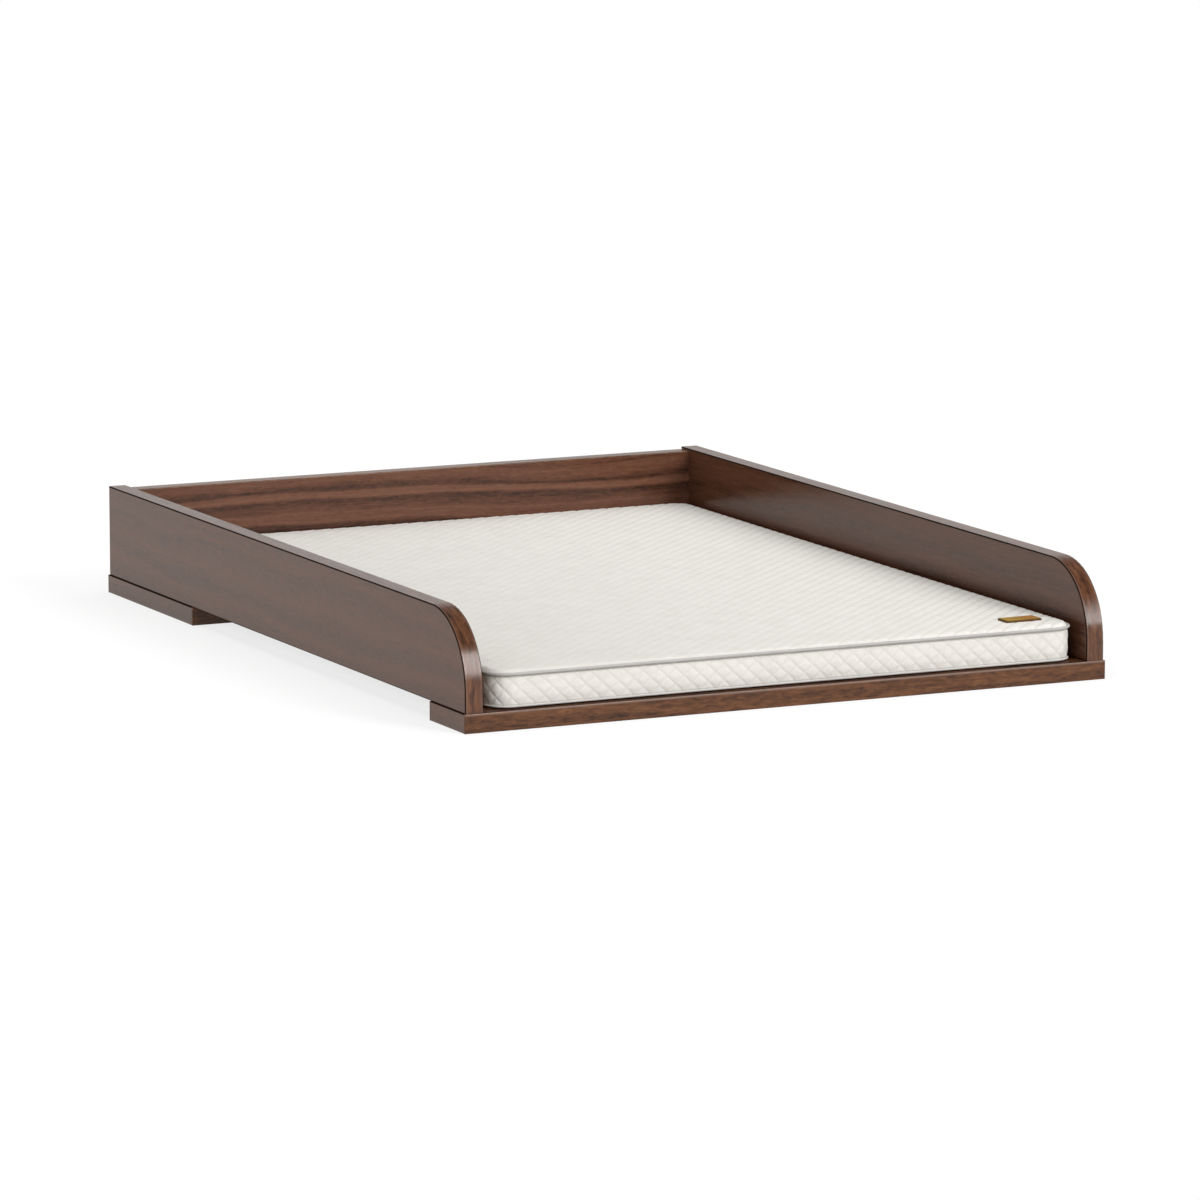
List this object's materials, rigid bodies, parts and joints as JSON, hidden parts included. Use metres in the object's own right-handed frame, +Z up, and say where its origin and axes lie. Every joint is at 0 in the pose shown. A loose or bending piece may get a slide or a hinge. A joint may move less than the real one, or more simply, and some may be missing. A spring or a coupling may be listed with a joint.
{
  "type": "changing top",
  "caption": "Open dresser-top changing tray with low round-nosed side panels, a back panel and two base rails, holding a thin quilted mattress that lifts out.",
  "frame": {"origin": "middle of the footprint, on the surface that the base rails stand on", "axes": "+X to the right seen from the open front, +Y from the front to the back panel, +Z up"},
  "size_m": [0.55, 0.72, 0.09],
  "materials": {
    "walnut_board": "satin",
    "walnut_edge_band": "satin",
    "beech_dowel": "matte",
    "screw_steel": "satin",
    "cam_zinc": "satin",
    "quilted_fabric": "matte",
    "plain_fabric": "matte",
    "piping_fabric": "matte",
    "foam": "matte",
    "label_leather": "satin"
  },
  "bodies": {
    "tray": {"left_side_panel": "walnut_board", "right_side_panel": "walnut_board", "back_panel": "walnut_board", "front_base_rail": "walnut_board", "rear_base_rail": "walnut_board", "left_side_edge_band": "walnut_edge_band", "right_side_edge_band": "walnut_edge_band", "left_side_rear_edge_band": "walnut_edge_band", "right_side_rear_edge_band": "walnut_edge_band", "back_panel_top_edge_band": "walnut_edge_band", "front_rail_front_edge_band": "walnut_edge_band", "front_rail_rear_edge_band": "walnut_edge_band", "front_rail_left_edge_band": "walnut_edge_band", "front_rail_right_edge_band": "walnut_edge_band", "rear_rail_front_edge_band": "walnut_edge_band", "rear_rail_rear_edge_band": "walnut_edge_band", "rear_rail_left_edge_band": "walnut_edge_band", "rear_rail_right_edge_band": "walnut_edge_band", "rail_screws": "screw_steel", "back_panel_dowels": "beech_dowel", "cam_bolts": "screw_steel", "cam_locks": "cam_zinc"},
    "mattress": {"mattress_foam_core": "foam", "mattress_top_cover": "quilted_fabric", "mattress_bottom_cover": "plain_fabric", "mattress_border": "quilted_fabric", "mattress_top_piping": "piping_fabric", "mattress_bottom_piping": "piping_fabric", "mattress_label": "label_leather"}
  },
  "joints": [
    {"name": "mattress_lift", "type": "slide", "parent": "tray", "child": "mattress", "axis": [0, 0, 1], "range_m": [0, 0.12]}
  ]
}
